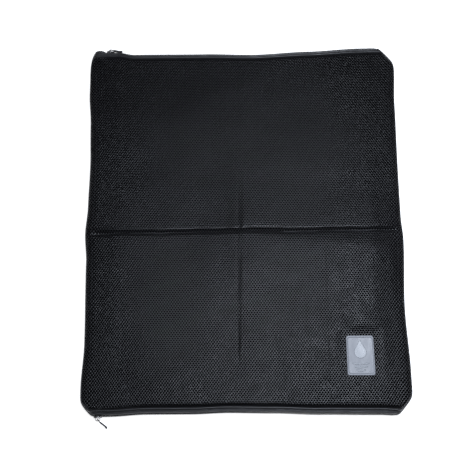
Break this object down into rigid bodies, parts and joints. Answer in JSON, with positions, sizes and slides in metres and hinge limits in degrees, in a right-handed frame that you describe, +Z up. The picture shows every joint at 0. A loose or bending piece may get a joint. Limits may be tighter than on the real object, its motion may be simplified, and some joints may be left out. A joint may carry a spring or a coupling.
{
  "type": "mesh laundry bag",
  "caption": "Flat rectangular laundry bag of black spacer mesh with a zipped mouth along its top and bottom edges, turned side seams, an inner divider and a small raised badge.",
  "frame": {"origin": "middle of the bag's underside, on the surface that it lies on", "axes": "+Z up out of the surface, +Y from the bottom zipper to the top zipper, +X across the bag towards the badge"},
  "size_m": [0.5, 0.6236, 0.0199],
  "materials": {
    "mesh": "knitted polyester spacer mesh, matte black",
    "divider_mesh": "thin warp-knitted polyester net, black",
    "tape": "woven polyester zipper tape, black",
    "coil": "nylon monofilament coil, black",
    "slider_metal": "nickel-plated die casting",
    "pull_metal": "black enamelled die casting",
    "stop_metal": "pressed aluminium",
    "badge": "satin silver-grey moulded soft plastic",
    "badge_relief": "raised satin silver-grey moulded soft plastic"
  },
  "bodies": {
    "bag": {"back_panel": "mesh", "front_panel_sides": "mesh", "right_side_seam": "mesh", "left_side_seam": "mesh", "divider_fixed": "divider_mesh", "top_front_tape_ends": "tape", "top_front_coil_ends": "coil", "top_back_tape": "tape", "top_back_coil": "coil", "top_corner_tabs": "tape", "top_chain_stops": "stop_metal", "bottom_front_tape_ends": "tape", "bottom_front_coil_ends": "coil", "bottom_back_tape": "tape", "bottom_back_coil": "coil", "bottom_corner_tabs": "tape", "bottom_chain_stops": "stop_metal"},
    "upper_mouth": {"front_panel_upper": "mesh", "top_front_tape": "tape", "top_front_coil": "coil"},
    "lower_mouth": {"front_panel_lower": "mesh", "divider_flap": "divider_mesh", "bottom_front_tape": "tape", "bottom_front_coil": "coil", "badge_plate": "badge", "badge_motif": "badge_relief"},
    "top_slider": {"top_slider_body": "slider_metal", "top_slider_bridge": "slider_metal"},
    "bottom_slider": {"bottom_slider_body": "slider_metal", "bottom_slider_bridge": "slider_metal"},
    "top_pull": {"top_pull_tab": "pull_metal"},
    "bottom_pull": {"bottom_pull_tab": "pull_metal"}
  },
  "joints": [
    {"name": "upper_mouth_lift", "type": "hinge", "parent": "bag", "child": "upper_mouth", "pos_m": [0, -0.015, 0.018], "axis": [1, 0, 0], "range_deg": [0, 14]},
    {"name": "lower_mouth_lift", "type": "hinge", "parent": "bag", "child": "lower_mouth", "pos_m": [0, -0.015, 0.018], "axis": [-1, 0, 0], "range_deg": [0, 14]},
    {"name": "top_zip", "type": "slide", "parent": "bag", "child": "top_slider", "axis": [1, 0, 0], "range_m": [0, 0.436]},
    {"name": "bottom_zip", "type": "slide", "parent": "bag", "child": "bottom_slider", "axis": [1, 0, 0], "range_m": [0, 0.436]},
    {"name": "top_pull_swing", "type": "hinge", "parent": "top_slider", "child": "top_pull", "pos_m": [-0.219, 0.3036, 0.009], "axis": [0, 0, 1], "range_deg": [0, 174]},
    {"name": "bottom_pull_swing", "type": "hinge", "parent": "bottom_slider", "child": "bottom_pull", "pos_m": [-0.222, -0.3036, 0.009], "axis": [0, 0, -1], "range_deg": [-49, 125]}
  ],
  "couplings": [
    {"joint": "top_zip", "follows": "upper_mouth_lift", "m_per_rad": 1.7803},
    {"joint": "bottom_zip", "follows": "lower_mouth_lift", "m_per_rad": 1.7803}
  ]
}
